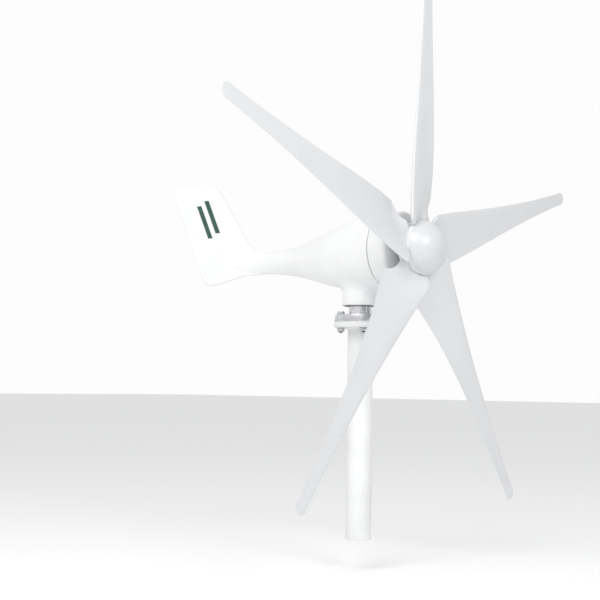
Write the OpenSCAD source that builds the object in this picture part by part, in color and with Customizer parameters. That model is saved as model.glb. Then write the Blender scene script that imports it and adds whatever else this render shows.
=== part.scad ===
// Small five-blade wind turbine on a short flanged mast.
// Millimetres. Z is up, the mast and yaw axis is x = y = 0, its open lower
// end is z = 0, and the nose points along -Y.

/* [Mast] */
// Length of the mast tube, from its open end to the underside of its flange
mast_l = 412; // [200:1:900]
// Outside diameter of the mast tube
mast_d = 50; // [46:1:54]
// Wall of the mast tube
mast_wall = 2.5; // [2:0.5:5]
// Diameter of both bolted flanges
flange_d = 104; // [98:1:140]
// Thickness of the mast's flange
mast_flange_t = 11; // [6:1:20]
// Fillet of weld under the mast's flange
weld_size = 4; // [2:0.5:6]

/* [Flange bolts] */
// Number of flange bolts
flange_bolts_n = 4; // [3:1:6]
// Nominal diameter of the flange bolts
flange_bolt_d = 8; // [6:1:10]
// Pitch circle of the flange bolts
flange_pcd = 78; // [76:1:84]

/* [Yaw head] */
// Thickness of the spindle's flange
spindle_flange_t = 14; // [8:1:20]
// Open gap between the spindle's flange and the neck
neck_gap = 18; // [14:1:40]
// Outside diameter of the neck
neck_d = 74; // [73:0.5:84]
// Drop from the rotor axis to the lower end of the neck
neck_drop = 107; // [100:1:140]
// Bore of the spindle for the cables
spindle_bore = 18; // [8:1:22]
// Bore, outside diameter and width of the lower yaw bearing
lower_bearing = [40, 68, 15];
// Bore, outside diameter and width of the upper yaw bearing
upper_bearing = [30, 55, 13];
// Height of the upper bearing's lower face above the lower end of the neck
upper_bearing_up = 46; // [40:1:50]

/* [Nacelle] */
// Radius of the body at its front seam
body_r = 76; // [74:0.5:90]
// Wall of the casting
shell_wall = 4.5; // [3:0.5:7]
// Distance from the yaw axis forward to the front seam
seam_y = 68; // [64:1:90]
// Length of the generator housing ahead of the seam
housing_l = 39; // [38:1:60]
// Distance from the yaw axis forward to the plane of the blade roots
overhang = 142; // [141:1:180]
// Thickness of the tail fin
fin_t = 8; // [5:0.5:9]
// Height of the fin's top above the rotor axis
fin_top = 178; // [120:1:260]

/* [Generator] */
// Radius of the stator
stator_r = 63; // [60:0.5:64]
// Length of the stator stack
stator_l = 26; // [18:1:26]
// Air gap between the magnets and the stator
air_gap = 1.2; // [0.6:0.1:2]
// Number of wound teeth
teeth_n = 12; // [9:3:15]
// Number of magnets
magnets_n = 10; // [8:2:14]
// Bore, outside diameter and width of the front bearing
front_bearing = [20, 47, 14];
// Bore, outside diameter and width of the rear bearing
rear_bearing = [15, 35, 11];

/* [Rotor] */
// Radius of the rotor at the blade tips
rotor_r = 600; // [450:10:900]
// Angle of the first blade from straight up
rotor_angle = 1.2; // [0:0.1:72]
// Chord at the widest part of a blade
chord_root = 118; // [100:1:124]
// Chord near the tip of a blade
chord_tip = 27; // [18:1:40]
// Twist at the widest part of a blade
twist_root = 20.7; // [12:0.1:21]
// Twist near the tip of a blade
twist_tip = 1.5; // [0:0.1:6]
// Thickness of the blade root between the hub plates
pad_t = 12; // [8:1:12]
// Radius of the circle of the outer blade bolts
blade_bolt_r = 41; // [40:0.5:42]
// Nominal diameter of the blade bolts
blade_bolt_d = 6; // [5:1:8]
// Radius of the nose cone
nose_r = 53; // [52.5:0.5:56]
// Height of the nose cone's dome
nose_dome = 41; // [30:1:52]

/* [Hidden] */
$fn = 64;
BLADES = 5;
pitch_a = 360 / BLADES;
run_gap = 0.3;      // between parts that turn past each other
fit_gap = 0.05;     // radial, between a fastener or shaft and its seat
seat_gap = 0.1;     // between parts that are bolted or pressed together

// Heights
mast_flange_z = mast_l;
spindle_z = mast_flange_z + mast_flange_t;
spindle_top_z = spindle_z + spindle_flange_t;
neck_z = spindle_top_z + neck_gap;
axis_z = neck_z + neck_drop;
seal_t = 3;
lower_bearing_z = neck_z + seal_t;
upper_bearing_z = neck_z + upper_bearing_up;
tower_top_z = upper_bearing_z + upper_bearing[2];

// Generator, measured forward along the rotor axis from the yaw axis
face_y = seam_y + housing_l;
seam_groove = 1.2;
spigot_l = 6;
face_t = 6;
stator_y = seam_y;
coil_over = 4.5;
end_plate_t = 6;
housing_bore_r = stator_r + seat_gap;
spigot_r = body_r - 5.2;
tooth_tip_r = stator_r - 22;
magnet_r = tooth_tip_r - air_gap;
magnet_t = 5;
front_bearing_y = face_y - face_t - front_bearing[2] + 1;
end_plate_y = seam_y - spigot_l + 1;
rear_bearing_y = end_plate_y - 4;
through_bolt_r = (housing_bore_r + spigot_r) / 2;
through_bolt_d = 4;

// Hub, measured forward from the plane of the blade roots
pad_back = -9;
pad_front = pad_back + pad_t;
hub_plate_t = 10;
clamp_plate_t = 5;
clamp_plate_r = nose_r - 0.6;
pad_r = clamp_plate_r - 0.4;
hub_plate_r = pad_r - 2;
hub_boss_back = overhang - face_y;      // from the blade plane back to the housing's face
inner_bolt_r = 25;
bolt_spread = 13;                       // of the outer bolts, either side of the blade's middle
nose_wall = 2.5;
nose_base = pad_front + clamp_plate_t + 0.2;
nose_sphere_r = (nose_r * nose_r + nose_dome * nose_dome) / (2 * nose_dome);
nose_screw_r = 43;
nose_screw_a = 31;                      // from each blade's middle, in the gap between two roots
hub_seat_d = 18;
hub_thread_d = 14;
hub_seat_front = pad_front + clamp_plate_t - 1;
shaft_d = front_bearing[0];

// ---------------------------------------------------------------- shared shapes

// Places children in the rotor's frame: +Z forward along the axis, +Y up, z = 0 on the yaw axis.
module on_axis(forward = 0)
    translate([0, -forward, axis_z]) rotate([90, 0, 0]) children();

module ring(outer_r, inner_r, h)
    difference() {
        cylinder(r = outer_r, h = h);
        translate([0, 0, -1]) cylinder(r = inner_r, h = h + 2);
    }

module around(n, r, start = 0)
    for (i = [0 : n - 1]) rotate([0, 0, start + i * 360 / n]) translate([r, 0, 0]) children();

// A hexagon prism of a given width across flats.
module hex(across, h)
    cylinder(d = across / cos(30), h = h, $fn = 6);

// A hexagon bolt with its head's seat at z = 0 and its shank downwards.
module hex_bolt(d, shank, across, head) {
    hex(across, head);
    translate([0, 0, -shank]) cylinder(d = d, h = shank + 0.5);
}

module hex_nut(d, across, h)
    difference() {
        hex(across, h);
        translate([0, 0, -1]) cylinder(d = d + 2 * fit_gap, h = h + 2);
    }

// A socket-head screw with its head's seat at z = 0 and its shank downwards.
module socket_screw(d, shank, head_d, head_h)
    difference() {
        union() {
            cylinder(d = head_d, h = head_h);
            translate([0, 0, -shank]) cylinder(d = d, h = shank + 0.5);
        }
        translate([0, 0, head_h / 2]) hex(head_d / 2, head_h);
    }

function ball_r(b) = (b[1] - b[0]) / 2 * 0.28;
function pitch_r(b) = (b[0] + b[1]) / 4;

// One race of a ball bearing b = [bore, outside, width], with its groove.
module race(b, outer) {
    wall = (b[1] - b[0]) / 2 * 0.3;
    difference() {
        if (outer) ring(b[1] / 2 - fit_gap, b[1] / 2 - wall, b[2]);
        else ring(b[0] / 2 + wall, b[0] / 2 + fit_gap, b[2]);
        translate([0, 0, b[2] / 2]) rotate_extrude()
            translate([pitch_r(b), 0]) circle(r = ball_r(b) + 0.1);
    }
}

module balls(b) {
    n = floor(360 / (2 * asin(ball_r(b) / pitch_r(b)) * 1.25));
    translate([0, 0, b[2] / 2]) around(n, pitch_r(b)) sphere(r = ball_r(b));
}

// A closed solid through rings of points; every ring has the same count.
module loft(rings) {
    n = len(rings[0]);
    m = len(rings);
    points = [for (r = rings) each r];
    sides = [for (j = [0 : m - 2]) for (i = [0 : n - 1])
        let (a = j * n + i, b = j * n + (i + 1) % n, c = a + n, d = b + n)
        each [[a, b, d], [a, d, c]]];
    caps = [for (i = [1 : n - 2]) each [[0, i + 1, i],
        [(m - 1) * n, (m - 1) * n + i, (m - 1) * n + i + 1]]];
    polyhedron(points = points, faces = [for (f = concat(sides, caps)) [f[0], f[2], f[1]]]);
}

// A tube along a route of points.
function unit(v) = v / norm(v);
function tube_rings(route, r, sides) =
    [for (i = [0 : len(route) - 1])
        let (t = unit(route[min(i + 1, len(route) - 1)] - route[max(i - 1, 0)]),
             u = unit(cross(t, abs(t[0]) < 0.8 ? [1, 0, 0] : [0, 1, 0])),
             v = cross(t, u))
        [for (k = [0 : sides - 1]) let (a = 360 * k / sides)
            route[i] + r * (cos(a) * u + sin(a) * v)]];

// Smooth step from 0 to 1.
function ease(x) = let (c = max(0, min(1, x))) c * c * (3 - 2 * c);

// Smooth curve through the rows of a station table, read at column k.
function row_at(table, y) = max([for (i = [0 : len(table) - 2]) table[i][0] <= y ? i : 0]);
function slope(table, i, k) =
    i <= 0 || i >= len(table) - 1 ? 0
    : (table[i + 1][k] - table[i - 1][k]) / (table[i + 1][0] - table[i - 1][0]);
function station(table, y, k) =
    let (i = row_at(table, y), a = table[i], b = table[i + 1], h = b[0] - a[0],
         u = max(0, min(1, (y - a[0]) / h)))
    a[k] * (1 + 2 * u) * (1 - u) * (1 - u) + b[k] * u * u * (3 - 2 * u)
        + h * slope(table, i, k) * u * (1 - u) * (1 - u)
        + h * slope(table, i + 1, k) * u * u * (u - 1);

// Corners of a polygon rounded to their radii: each corner is [x, y, radius].
function rounded(corners, steps = 8) =
    let (n = len(corners))
    [for (i = [0 : n - 1])
        let (p = corners[i], c = [p[0], p[1]],
             a = unit([corners[(i + n - 1) % n][0], corners[(i + n - 1) % n][1]] - c),
             b = unit([corners[(i + 1) % n][0], corners[(i + 1) % n][1]] - c),
             half = acos(a * b) / 2,
             reach = p[2] / tan(half),
             mid = c + unit(a + b) * p[2] / sin(half),
             from = c + a * reach - mid,
             turn = 180 - 2 * half,
             side = a[0] * b[1] - a[1] * b[0] > 0 ? -1 : 1)
        each p[2] == 0 ? [c]
            : [for (k = [0 : steps]) let (w = side * turn * k / steps)
                mid + [from[0] * cos(w) - from[1] * sin(w), from[0] * sin(w) + from[1] * cos(w)]]];

// ---------------------------------------------------------------- mast

// The tube's top is turned down to a short spigot that the flange slips over.
mast_spigot_r = mast_d / 2 - 0.5;
mast_shoulder_z = mast_flange_z - weld_size - 0.2;

module mast_tube() color("white") {
    ring(mast_d / 2, mast_d / 2 - mast_wall, mast_shoulder_z);
    ring(mast_spigot_r, mast_d / 2 - mast_wall, mast_l + mast_flange_t - 2);
}

module mast_flange() color("white")
    difference() {
        translate([0, 0, mast_flange_z]) cylinder(d = flange_d, h = mast_flange_t);
        translate([0, 0, mast_flange_z - 1])
            cylinder(r = mast_spigot_r + fit_gap, h = mast_flange_t - 1);
        translate([0, 0, mast_flange_z]) cylinder(d = mast_d - 2 * mast_wall, h = mast_flange_t + 1);
        flange_holes(mast_flange_z, mast_flange_t);
    }

module flange_holes(z, t)
    translate([0, 0, z - 1])
        around(flange_bolts_n, flange_pcd / 2, 45)
            cylinder(d = flange_bolt_d + 1, h = t + 2);

module mast_weld() color("white")
    translate([0, 0, mast_flange_z - seat_gap]) rotate_extrude()
        polygon([[mast_spigot_r + fit_gap, -weld_size], [mast_d / 2 + weld_size, 0],
            [mast_spigot_r + fit_gap, 0]]);

// ---------------------------------------------------------------- flange bolts

function across_flats(d) = d <= 5 ? 8 : d <= 6 ? 10 : d <= 8 ? 13 : d <= 10 ? 17 : 19;
washer_t = 1.6;
nut_h = flange_bolt_d * 0.8;

module flange_bolts() color("silver")
    translate([0, 0, spindle_top_z + washer_t]) around(flange_bolts_n, flange_pcd / 2, 45)
        hex_bolt(flange_bolt_d, spindle_flange_t + mast_flange_t + 2 * washer_t + nut_h + 2,
            across_flats(flange_bolt_d), flange_bolt_d * 0.66);

module flange_washers() color("silver")
    around(flange_bolts_n, flange_pcd / 2, 45)
        for (z = [spindle_top_z, mast_flange_z - washer_t])
            translate([0, 0, z])
                ring(across_flats(flange_bolt_d) / 2 + 1.5, flange_bolt_d / 2 + 0.2, washer_t);

module flange_nuts() color("silver")
    translate([0, 0, mast_flange_z - washer_t - nut_h])
        around(flange_bolts_n, flange_pcd / 2, 45)
            hex_nut(flange_bolt_d, across_flats(flange_bolt_d), nut_h);

// ---------------------------------------------------------------- yaw spindle

collar_r = lower_bearing[0] / 2 + 1.5;
lock_nut_h = 7;
spindle_end_z = tower_top_z + lock_nut_h + 2;
lower_journal_r = lower_bearing[0] / 2;
upper_journal_r = upper_bearing[0] / 2;
thread_r = upper_journal_r - 1;

module yaw_spindle() color("lightgray")
    difference() {
        rotate_extrude() polygon([
            [spindle_bore / 2, spindle_z], [flange_d / 2 - 1.5, spindle_z],
            [flange_d / 2 - 0.5, spindle_z + 1], [flange_d / 2 - 0.5, spindle_top_z - 1],
            [flange_d / 2 - 1.5, spindle_top_z], [collar_r + 2, spindle_top_z],
            [collar_r, spindle_top_z + 2], [collar_r, lower_bearing_z],
            [lower_journal_r, lower_bearing_z], [lower_journal_r, lower_bearing_z + lower_bearing[2] + 1],
            [upper_journal_r + 2, lower_bearing_z + lower_bearing[2] + 1],
            [upper_journal_r + 2, upper_bearing_z], [upper_journal_r, upper_bearing_z],
            [upper_journal_r, tower_top_z - 1], [thread_r, tower_top_z - 0.5],
            [thread_r, spindle_end_z], [spindle_bore / 2, spindle_end_z]]);
        flange_holes(spindle_z, spindle_flange_t);
    }

module yaw_lock_nut() color("silver")
    translate([0, 0, tower_top_z + seat_gap]) difference() {
        ring(upper_journal_r + 6, thread_r + fit_gap, lock_nut_h);
        around(4, upper_journal_r + 6) translate([-2, -2, -1]) cube([4, 4, lock_nut_h + 2]);
    }

module yaw_lower_inner_race() color("silver")
    translate([0, 0, lower_bearing_z]) race(lower_bearing, false);
module yaw_lower_outer_race() color("silver")
    translate([0, 0, lower_bearing_z]) race(lower_bearing, true);
module yaw_lower_balls() color("gainsboro")
    translate([0, 0, lower_bearing_z]) balls(lower_bearing);
module yaw_upper_inner_race() color("silver")
    translate([0, 0, upper_bearing_z]) race(upper_bearing, false);
module yaw_upper_outer_race() color("silver")
    translate([0, 0, upper_bearing_z]) race(upper_bearing, true);
module yaw_upper_balls() color("gainsboro")
    translate([0, 0, upper_bearing_z]) balls(upper_bearing);

// ---------------------------------------------------------------- slip ring

slip_n = 3;
slip_pitch = 11;
slip_r = 16;
slip_h = 6;
core_r = 13;
slip_z = spindle_end_z + 6;

module slip_ring_core() color("darkslategray")
    difference() {
        translate([0, 0, spindle_end_z + seat_gap]) union() {
            cylinder(r = core_r, h = 6 + slip_n * slip_pitch);
            for (i = [0 : slip_n])
                translate([0, 0, 2 + i * slip_pitch]) cylinder(r = slip_r - 1, h = 2.5);
            translate([0, 0, -6]) cylinder(d = spindle_bore - 2 * fit_gap, h = 7);
        }
        translate([0, 0, spindle_end_z - 10]) cylinder(r = 5, h = 60);
    }

module slip_rings() color("gold")
    for (i = [0 : slip_n - 1])
        translate([0, 0, slip_z + i * slip_pitch]) ring(slip_r, core_r + fit_gap, slip_h);

brush_w = 5;
holder_y = slip_r + 8;
holder_t = 13;
holder_h = slip_z + slip_n * slip_pitch - tower_top_z;

function brush_z(i) = slip_z + i * slip_pitch + slip_h / 2;

module brush_holder() color("dimgray")
    difference() {
        translate([-9, holder_y, tower_top_z + seat_gap]) cube([18, holder_t, holder_h]);
        for (i = [0 : slip_n - 1])
            translate([-brush_w / 2 - 0.1, holder_y - 1, brush_z(i) - brush_w / 2 - 0.1])
                cube([brush_w + 0.2, holder_t - 1, brush_w + 0.2]);
        translate([6, holder_y + holder_t - 4, tower_top_z - 1]) cylinder(d = 3.2, h = holder_h + 2);
    }

module brushes() color("black")
    for (i = [0 : slip_n - 1])
        translate([-brush_w / 2, slip_r + run_gap, brush_z(i) - brush_w / 2])
            cube([brush_w, holder_y - slip_r + 4, brush_w]);

// Each spring is a wire coil between its brush and the end of its pocket.
spring_r = 1.8;
spring_wire = 0.3;
spring_turns = 4;
spring_from = holder_y + 4 + run_gap + spring_wire;
spring_to = holder_y + holder_t - 2 - spring_wire;

module brush_springs() color("silver")
    for (i = [0 : slip_n - 1])
        translate([0, 0, brush_z(i)])
            loft(tube_rings([for (k = [0 : 10 * spring_turns])
                let (a = 36 * k)
                [spring_r * cos(a), spring_from + (spring_to - spring_from) * k / (10 * spring_turns),
                    spring_r * sin(a)]], spring_wire, 6));

module holder_screw() color("silver")
    translate([6, holder_y + holder_t - 4, tower_top_z + holder_h + seat_gap])
        socket_screw(3, holder_h + 6, 5.5, 3);

// ---------------------------------------------------------------- nacelle casting

// Stations along the body: distance behind the yaw axis, then the top, the
// bottom and the half width about the rotor axis.
BODY = [
    [-seam_y, body_r, -body_r, body_r],
    [-30, body_r - 2.5, -body_r + 1.5, body_r - 2],
    [-3, body_r - 7, -body_r + 3, body_r - 5],
    [26, body_r - 15, -body_r + 5, body_r - 10.5],
    [63, body_r - 26.5, -body_r + 9.5, body_r - 18.5],
    [100, body_r - 38.3, -body_r + 19.5, body_r - 30],
    [127, 29, -49.5, 38],
    [153, 23, -43, 31],
    [180, 19.3, -38.7, 25],
    [210, 16.8, -34.8, 19],
    [244, 15.9, -32.5, 13],
    [300, 13, -30, 7],
    [350, 6, -22, fin_t / 2 - 0.5]];
shell_from = -seam_y + spigot_l + 1;
cavity_to = 195;
ring_points = 36;

function body_ring(y, wall) =
    let (top = station(BODY, y, 1), low = station(BODY, y, 2), half = station(BODY, y, 3),
         mid = (top + low) / 2, high = (top - low) / 2)
    [for (i = [0 : ring_points - 1]) let (a = 360 * i / ring_points)
        [(half - wall) * cos(a), y, axis_z + mid - (high - wall) * sin(a)]];

body_steps = [for (y = [-seam_y, -56, -44, -32, -20, -8, 4, 16, 28, 40, 54, 68, 82, 98, 114, 132,
    152, 175, 200, 225, 250, 275, 300, 325, 350]) y];
cavity_steps = [for (y = [-48, -34, -20, -6, 8, 22, 36, 50, 66, 82, 98, 116, 136, 156, 176,
    cavity_to]) y];

// The fin is a flat plate with raked edges, whose foot runs along the boom.
fin_rake = 1.4;                 // rise over run of the leading edge
tail_rake = 2.035;              // rise over run of the trailing edge
fin_heel = [423, -55];
fin_root = [285, 16];
fin_front_y = fin_root[0] + (fin_top - fin_root[1]) / fin_rake;
fin_rear_y = fin_heel[0] + (fin_top - fin_heel[1]) / tail_rake;
FIN = [[235, -31, 0], [235, 14, 0], [fin_root[0], fin_root[1], 60], [fin_front_y, fin_top, 75],
    [fin_rear_y, fin_top, 10], [fin_heel[0], fin_heel[1], 28], [310, -33, 120]];

module fin_plate()
    translate([0, 0, axis_z]) rotate([90, 0, 90]) translate([0, 0, -fin_t / 2])
        linear_extrude(fin_t) polygon(rounded(FIN));

neck_bore_r = lower_bearing[1] / 2 - 4;
neck_fillet_r = 14;

// Height of the body's underside at a place in plan.
function body_low(x, y) =
    let (top = station(BODY, y, 1), low = station(BODY, y, 2), half = station(BODY, y, 3))
    axis_z + (top + low) / 2 - (top - low) / 2 * sqrt(max(0, 1 - pow(x / half, 2)));

function fillet_point(a, r, drop) = [r * cos(a), r * sin(a), body_low(r * cos(a), r * sin(a)) - drop];

// The neck runs into the underside through a fillet that follows the body's shape.
module neck_fillet()
    loft([for (w = [-15 : 15 : 105]) [for (i = [0 : 47]) let (a = 7.5 * i)
        w < 0 ? fillet_point(a, neck_d / 2 - 1, neck_fillet_r + 1)
        : w > 90 ? fillet_point(a, neck_d / 2 + neck_fillet_r - 3, -3)
        : fillet_point(a, neck_d / 2 + neck_fillet_r * (1 - cos(w)),
            neck_fillet_r * (1 - sin(w)) - 0.02)]]);

module nacelle_shell() color("white")
    difference() {
        union() {
            difference() {
                loft([for (y = body_steps) body_ring(y, 0)]);
                loft([for (y = cavity_steps) body_ring(y, shell_wall)]);
                on_axis(-shell_from - 10) cylinder(r = stator_r - 3, h = 60);
            }
            fin_plate();
            translate([0, 0, neck_z]) cylinder(d = neck_d, h = tower_top_z - neck_z);
            neck_fillet();
        }
        on_axis(-shell_from) cylinder(r = spigot_r + seat_gap, h = 40);
        translate([0, 0, neck_z - 1])
            cylinder(r = neck_bore_r, h = tower_top_z - neck_z - upper_bearing[2] - 2);
        translate([0, 0, neck_z - 1])
            cylinder(d = lower_bearing[1], h = seal_t + lower_bearing[2] + 1);
        translate([0, 0, upper_bearing_z]) cylinder(d = upper_bearing[1], h = upper_bearing[2] + 1);
        translate([0, 0, upper_bearing_z - 5]) cylinder(d = upper_bearing[1] - 6, h = 6);
        translate([6, holder_y + holder_t - 4, tower_top_z - 7]) cylinder(d = 3 + 2 * fit_gap, h = 8);
        on_axis(seam_y - spigot_l - 14) around(4, through_bolt_r, 45)
            cylinder(d = through_bolt_d + 2 * fit_gap, h = 20);
    }

module neck_seal() color("black")
    translate([0, 0, neck_z]) ring(lower_bearing[1] / 2 - seat_gap, collar_r + run_gap, seal_t - seat_gap);

// The emblem area holds two plain slanted bars on each side of the fin.
bar_w = 13;
bar_l = 74;
bar_gap = 9;
decal_t = 0.4;
decal_at = [416, 102];

module fin_decals() color("darkgreen")
    for (side = [-1, 1])
        translate([side * (fin_t / 2 + decal_t / 2 + 0.02), 0, axis_z])
            rotate([90, 0, 90]) translate([decal_at[0], decal_at[1], -decal_t / 2])
                for (k = [0, 1])
                    linear_extrude(decal_t) polygon([for (p = [[0, 0], [bar_w, 0],
                        [bar_w + bar_l / tail_rake, bar_l], [bar_l / tail_rake, bar_l]])
                        p + [k * (bar_w + bar_gap) - bar_w - bar_gap / 2 - bar_l / tail_rake / 2,
                            -bar_l / 2 - k * 10]]);

// ---------------------------------------------------------------- generator

module front_housing() color("white")
    difference() {
        on_axis() rotate_extrude() polygon([
            [housing_bore_r, seam_y - spigot_l], [spigot_r, seam_y - spigot_l],
            [spigot_r, seam_y], [body_r - 2, seam_y], [body_r - 2, seam_y + seam_groove],
            [body_r, seam_y + seam_groove], [body_r - 0.4, face_y - 14], [body_r - 1.6, face_y - 6],
            [body_r - 4.5, face_y - 2], [body_r - 9, face_y], [17, face_y],
            [17, face_y - face_t + 1], [front_bearing[1] / 2, face_y - face_t + 1],
            [front_bearing[1] / 2, front_bearing_y], [front_bearing[1] / 2 + 5, front_bearing_y],
            [front_bearing[1] / 2 + 8, face_y - face_t], [housing_bore_r, face_y - face_t]]);
        on_axis(seam_y - spigot_l - 1) around(4, through_bolt_r, 45)
            cylinder(d = through_bolt_d + 0.4, h = housing_l + spigot_l + 2);
        on_axis(face_y - 5) around(4, through_bolt_r, 45) cylinder(d = 8, h = 10);
    }

module through_bolts() color("silver")
    on_axis(face_y - 5 + seat_gap) around(4, through_bolt_r, 45)
        socket_screw(through_bolt_d, housing_l + spigot_l + 3, 7, 4);

module stator_core() color("slategray")
    on_axis(stator_y) difference() {
        union() {
            ring(stator_r, stator_r - 9, stator_l);
            around(teeth_n, 0) translate([tooth_tip_r + 1, -5, 0]) cube([14, 10, stator_l]);
            around(teeth_n, 0) translate([tooth_tip_r - 1, -8.5, 0]) cube([4, 17, stator_l]);
        }
        translate([0, 0, -1]) cylinder(r = tooth_tip_r, h = stator_l + 2);
    }

module stator_coils() color("peru")
    on_axis(stator_y) around(teeth_n, 0)
        translate([tooth_tip_r + 3.4, 0, -coil_over]) difference() {
            translate([0, -8.5, 0]) cube([8.4, 17, stator_l + 2 * coil_over]);
            translate([-1, -5.2, coil_over - 0.2]) cube([11, 10.4, stator_l + 0.4]);
        }

module end_plate() color("silver")
    on_axis(end_plate_y - end_plate_t + 5) difference() {
        union() {
            cylinder(r = stator_r - seat_gap, h = end_plate_t - 5);
            cylinder(r = stator_r - seat_gap, h = 1);
            translate([0, 0, -5]) cylinder(r = stator_r - 3.2, h = 6);
            translate([0, 0, -9]) cylinder(d = rear_bearing[1] + 9, h = 8);
        }
        translate([0, 0, -8]) cylinder(d = rear_bearing[1], h = 20);
        translate([0, 0, -12]) cylinder(d = rear_bearing[0] + 6, h = 20);
    }

rear_seat_y = end_plate_y - end_plate_t + 5 - 8;

module front_outer_race() color("silver")
    on_axis(front_bearing_y) race(front_bearing, true);
module front_inner_race() color("silver")
    on_axis(front_bearing_y) race(front_bearing, false);
module front_balls() color("gainsboro")
    on_axis(front_bearing_y) balls(front_bearing);
module rear_outer_race() color("silver")
    on_axis(rear_seat_y) race(rear_bearing, true);
module rear_inner_race() color("silver")
    on_axis(rear_seat_y) race(rear_bearing, false);
module rear_balls() color("gainsboro")
    on_axis(rear_seat_y) balls(rear_bearing);

module shaft_seal() color("black")
    on_axis(face_y - 4) ring(17 - seat_gap, shaft_d / 2 + run_gap, 3.5);

// ---------------------------------------------------------------- leads

// Three leads run from the windings, through the end plate's gap, to the brushes.
lead_r = 1.6;
module phase_leads() color("red")
    for (i = [0 : slip_n - 1]) {
        side = i - 1;
        loft(tube_rings([
            [side * 6, -seam_y + coil_over + 22, axis_z + 34],
            [side * 6, -20, axis_z + 38],
            [side * 6, 5, axis_z + 40],
            [side * 6, 30, axis_z + 34],
            [side * 6, 44, axis_z + 14],
            [side * 6, 44, brush_z(i) + 6],
            [side * 6, holder_y + holder_t + 3, brush_z(i)],
            [side * 6, holder_y + holder_t + 0.1, brush_z(i)]], lead_r, 8));
    }

// ---------------------------------------------------------------- generator rotor

module main_shaft() color("silver")
    on_axis() difference() {
        rotate_extrude() polygon([
            [0, rear_seat_y - 1], [rear_bearing[0] / 2, rear_seat_y - 1],
            [rear_bearing[0] / 2, rear_seat_y + rear_bearing[2]],
            [shaft_d / 2 + 2, rear_seat_y + rear_bearing[2]], [shaft_d / 2 + 2, front_bearing_y],
            [shaft_d / 2, front_bearing_y], [shaft_d / 2, overhang - hub_boss_back + 3],
            [hub_seat_d / 2, overhang - hub_boss_back + 3], [hub_seat_d / 2, overhang + hub_seat_front],
            [hub_thread_d / 2, overhang + hub_seat_front], [hub_thread_d / 2, overhang + hub_seat_front + 16],
            [hub_thread_d / 2 - 1, overhang + hub_seat_front + 17], [0, overhang + hub_seat_front + 17]]);
        translate([-3, hub_seat_d / 2 - 3, overhang - 20]) cube([6, 6, 16]);
    }

module shaft_key() color("gray")
    on_axis(overhang - 20) translate([-2.95, hub_seat_d / 2 - 2.95, 0.1]) cube([5.9, 5.3, 15.8]);

module rotor_core() color("slategray")
    on_axis(stator_y) difference() {
        ring(magnet_r - magnet_t, shaft_d / 2 + 2 + fit_gap, stator_l);
        translate([0, 0, front_bearing_y - 2 - stator_y])
            cylinder(r = magnet_r - magnet_t - 2.5, h = stator_l);
        translate([0, 0, -1]) around(6, (magnet_r - magnet_t + shaft_d / 2) / 2)
            cylinder(r = 5, h = stator_l + 2);
    }

// Magnets are arcs with a small space between neighbours.
magnet_a = 360 / magnets_n - 5;
module magnets() color("gainsboro")
    on_axis(stator_y) for (i = [0 : magnets_n - 1]) rotate([0, 0, i * 360 / magnets_n])
        rotate_extrude(angle = magnet_a) translate([magnet_r - magnet_t + fit_gap, 0])
            square([magnet_t - fit_gap, stator_l]);

// ---------------------------------------------------------------- hub

function bolt_places() = [for (a = [-bolt_spread, bolt_spread])
    [blade_bolt_r * sin(a), blade_bolt_r * cos(a)]];

module at_blade(k)
    on_axis(overhang) rotate([0, 0, -(rotor_angle + (k - 1) * pitch_a)]) children();

module blade_bolt_places() {
    for (p = bolt_places()) translate([p[0], p[1], 0]) children();
    translate([0, inner_bolt_r, 0]) children();
}

module hub_plate() color("silver")
    difference() {
        on_axis(overhang + pad_back - hub_plate_t - seat_gap) difference() {
            union() {
                cylinder(r = hub_plate_r, h = hub_plate_t);
                translate([0, 0, -8]) cylinder(r = 19, h = 9);
            }
            translate([0, 0, -9]) cylinder(r = hub_seat_d / 2 + fit_gap, h = hub_plate_t + 10);
            translate([-3, 0, -9]) cube([6, hub_seat_d / 2 + 2.6, hub_plate_t + 10]);
        }
        for (k = [1 : BLADES]) at_blade(k) blade_bolt_places()
            translate([0, 0, -40]) cylinder(d = blade_bolt_d + 0.4, h = 40);
        nose_screw_places() translate([0, 0, -40]) cylinder(d = nose_screw_d + 0.4, h = 40);
    }

module nose_screw_places()
    for (k = [1 : BLADES]) at_blade(k) rotate([0, 0, -nose_screw_a])
        translate([0, nose_screw_r, 0]) children();

module clamp_plate() color("silver")
    difference() {
        on_axis(overhang + pad_front + seat_gap)
            ring(clamp_plate_r, hub_seat_d / 2 + fit_gap + 3, clamp_plate_t);
        for (k = [1 : BLADES]) at_blade(k) blade_bolt_places()
            translate([0, 0, -1]) cylinder(d = blade_bolt_d + 0.4, h = 30);
        nose_screw_places() translate([0, 0, -1]) cylinder(d = nose_screw_d + 0.4, h = 30);
    }

nose_screw_d = 3.5;
blade_head = blade_bolt_d * 0.7;

module blade_bolts() color("silver")
    for (k = [1 : BLADES]) at_blade(k) blade_bolt_places()
        translate([0, 0, pad_front + clamp_plate_t + 2 * seat_gap])
            hex_bolt(blade_bolt_d, pad_t + hub_plate_t + clamp_plate_t + blade_bolt_d + 1, 10,
                blade_head);

module blade_nuts() color("silver")
    for (k = [1 : BLADES]) at_blade(k) blade_bolt_places()
        translate([0, 0, pad_back - hub_plate_t - 2 * seat_gap - blade_bolt_d * 0.8])
            hex_nut(blade_bolt_d, 10, blade_bolt_d * 0.8);

module hub_washer() color("silver")
    on_axis(overhang + hub_seat_front + 1.2) ring(16, hub_thread_d / 2 + 0.2, 2);

module hub_nut() color("silver")
    on_axis(overhang + hub_seat_front + 3.3) hex_nut(hub_thread_d, 21, 11);

// The nose cone is part of a sphere, held by long screws from behind the hub plate.
module nose_ball(inset)
    intersection() {
        translate([0, 0, nose_base + nose_dome - nose_sphere_r]) sphere(r = nose_sphere_r - inset);
        translate([0, 0, nose_base]) cylinder(r = nose_r + 5, h = nose_dome + 5);
    }

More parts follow.
